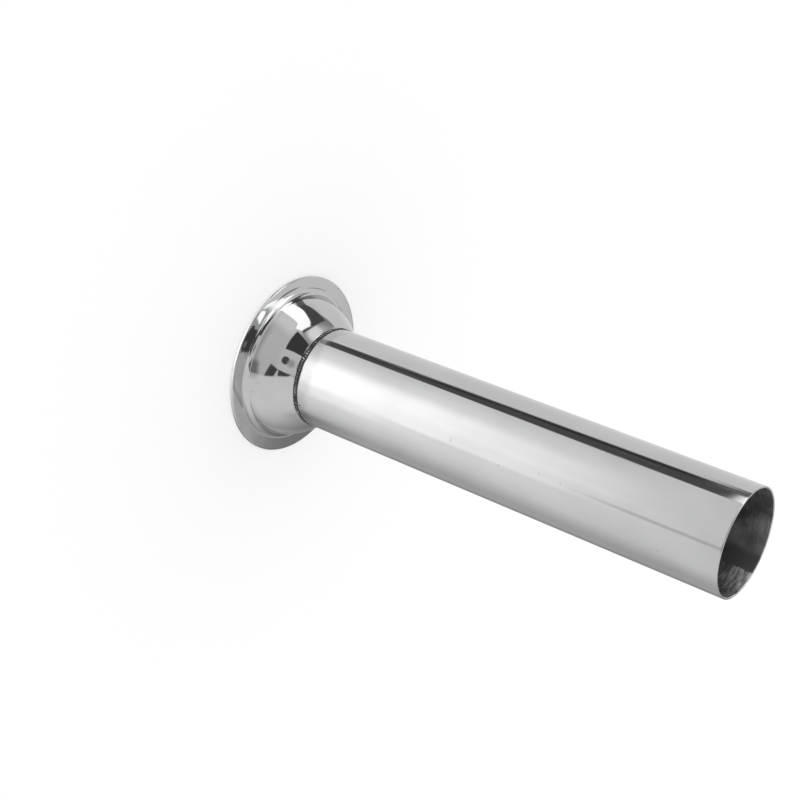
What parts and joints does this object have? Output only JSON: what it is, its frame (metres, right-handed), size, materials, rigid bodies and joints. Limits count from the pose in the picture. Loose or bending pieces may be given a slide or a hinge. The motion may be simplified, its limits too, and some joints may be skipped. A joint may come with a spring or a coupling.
{
  "type": "sausage stuffing tube",
  "caption": "Polished steel stuffing tube: a pressed flange with a domed neck, butt welded to a straight thin-walled tube that casings slide over.",
  "frame": {"origin": "centre of the back face of the flange, which the part stands on", "axes": "+Z along the tube's axis, from the flange towards the mouth; round about Z, so X and Y are free"},
  "size_m": [0.058, 0.058, 0.16],
  "materials": {
    "polished_flange": "mirror polished pressed stainless steel, fine handling scratches",
    "weld_metal": "rippled weld metal, dark and unpolished",
    "polished_tube": "mirror polished outside, satin and scratched inside"
  },
  "bodies": {
    "root": {"flange_cup": "polished_flange", "weld_bead": "weld_metal", "stuffing_tube": "polished_tube"}
  },
  "joints": []
}
